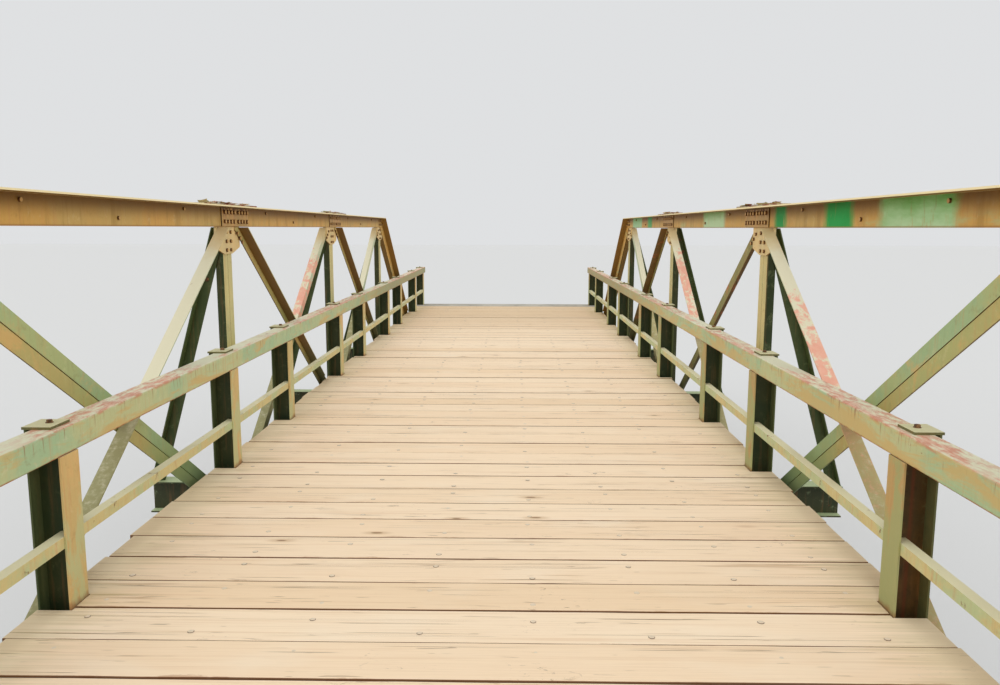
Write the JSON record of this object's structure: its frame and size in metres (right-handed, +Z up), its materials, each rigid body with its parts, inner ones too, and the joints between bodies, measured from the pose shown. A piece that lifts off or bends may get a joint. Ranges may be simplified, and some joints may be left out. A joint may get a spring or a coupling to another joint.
{
  "type": "steel pony truss footbridge with timber deck",
  "caption": "Footbridge with a transverse plank deck between two bolted steel pony trusses, outriggers, steel railings and concrete abutments.",
  "frame": {"origin": "on the ground, under the middle of the bridge", "axes": "+X across the walkway to the right, +Y along the walkway, +Z up"},
  "size_m": [5.572, 31.64, 4.39],
  "materials": {
    "deck_timber": "weathered bare planks",
    "rail_paint": "worn sage paint with rust streaks",
    "truss_paint": "faded ochre and pale green paint with rust",
    "under_floor_paint": "dark green paint, dirty",
    "bearing_steel": "rusty plate",
    "concrete": "weathered plain concrete"
  },
  "bodies": {
    "root": {"bearing_plates": "bearing_steel", "deck": "deck_timber", "edge_channels": "under_floor_paint", "far_abutment": "concrete", "floor_beams": "under_floor_paint", "half_laterals": "under_floor_paint", "inner_stringers": "under_floor_paint", "left_bottom_chord": "under_floor_paint", "left_bottom_gussets": "under_floor_paint", "left_chord_splices": "truss_paint", "left_chord_top_plates": "truss_paint", "left_double_diagonals": "truss_paint", "left_end_posts": "truss_paint", "left_falling_diagonals": "truss_paint", "left_floor_brackets": "under_floor_paint", "left_mid_rails": "rail_paint", "left_outriggers": "under_floor_paint", "left_post_caps": "rail_paint", "left_rail_posts": "rail_paint", "left_rising_diagonals": "truss_paint", "left_top_chord": "truss_paint", "left_top_gussets": "truss_paint", "left_verticals": "truss_paint", "near_abutment": "concrete", "right_bottom_chord": "under_floor_paint", "right_bottom_gussets": "under_floor_paint", "right_chord_splices": "truss_paint", "right_chord_top_plates": "truss_paint", "right_double_diagonals": "truss_paint", "right_end_posts": "truss_paint", "right_falling_diagonals": "truss_paint", "right_floor_brackets": "under_floor_paint", "right_mid_rails": "rail_paint", "right_outriggers": "under_floor_paint", "right_post_caps": "rail_paint", "right_rail_posts": "rail_paint", "right_rising_diagonals": "truss_paint", "right_top_chord": "truss_paint", "right_top_gussets": "truss_paint", "right_verticals": "truss_paint", "through_laterals": "under_floor_paint", "top_rails": "rail_paint"}
  },
  "joints": []
}
